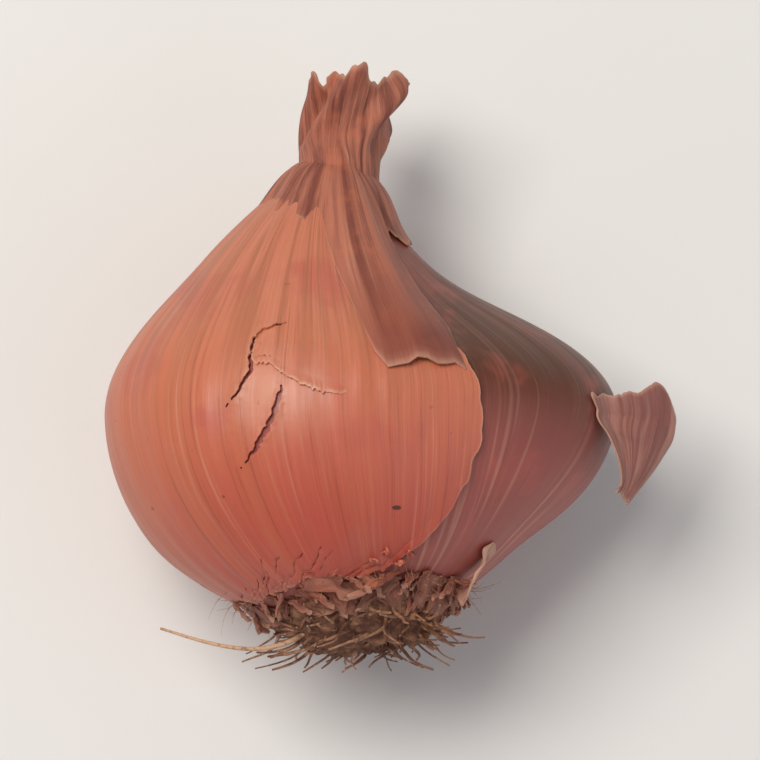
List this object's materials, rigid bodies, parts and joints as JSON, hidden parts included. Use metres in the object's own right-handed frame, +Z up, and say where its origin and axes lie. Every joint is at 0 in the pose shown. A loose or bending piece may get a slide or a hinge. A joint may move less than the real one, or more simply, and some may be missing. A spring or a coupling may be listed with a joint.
{
  "type": "shallot bulb",
  "caption": "Dried double-lobed shallot lying on its side: copper outer skin torn along the valley, loose pale skin scrap, twisted cut neck and ragged root tuft.",
  "frame": {"origin": "in the flat spot that the bulb rests on, on the surface below it", "axes": "+Y along the bulb from the roots towards the dry neck, +Z up, +X towards the small lobe"},
  "size_m": [0.0507, 0.0538, 0.035],
  "materials": {
    "bulb_skin": "thin satin skin, mauve to pinkish brown, over moist flesh",
    "outer_skin": "dry papery copper-orange skin with fine lengthwise fibres and a soft sheen",
    "loose_skin": "dry papery skin, pale mauve, matt",
    "dry_neck": "dry folded leaf bases, pinkish brown, matt",
    "root_tuft": "corky root plate with wiry tan roots, matt"
  },
  "bodies": {
    "root": {"bulb": "bulb_skin", "outer_skin": "outer_skin", "loose_skin": "loose_skin", "dry_neck": "dry_neck", "root_tuft": "root_tuft"}
  },
  "joints": []
}
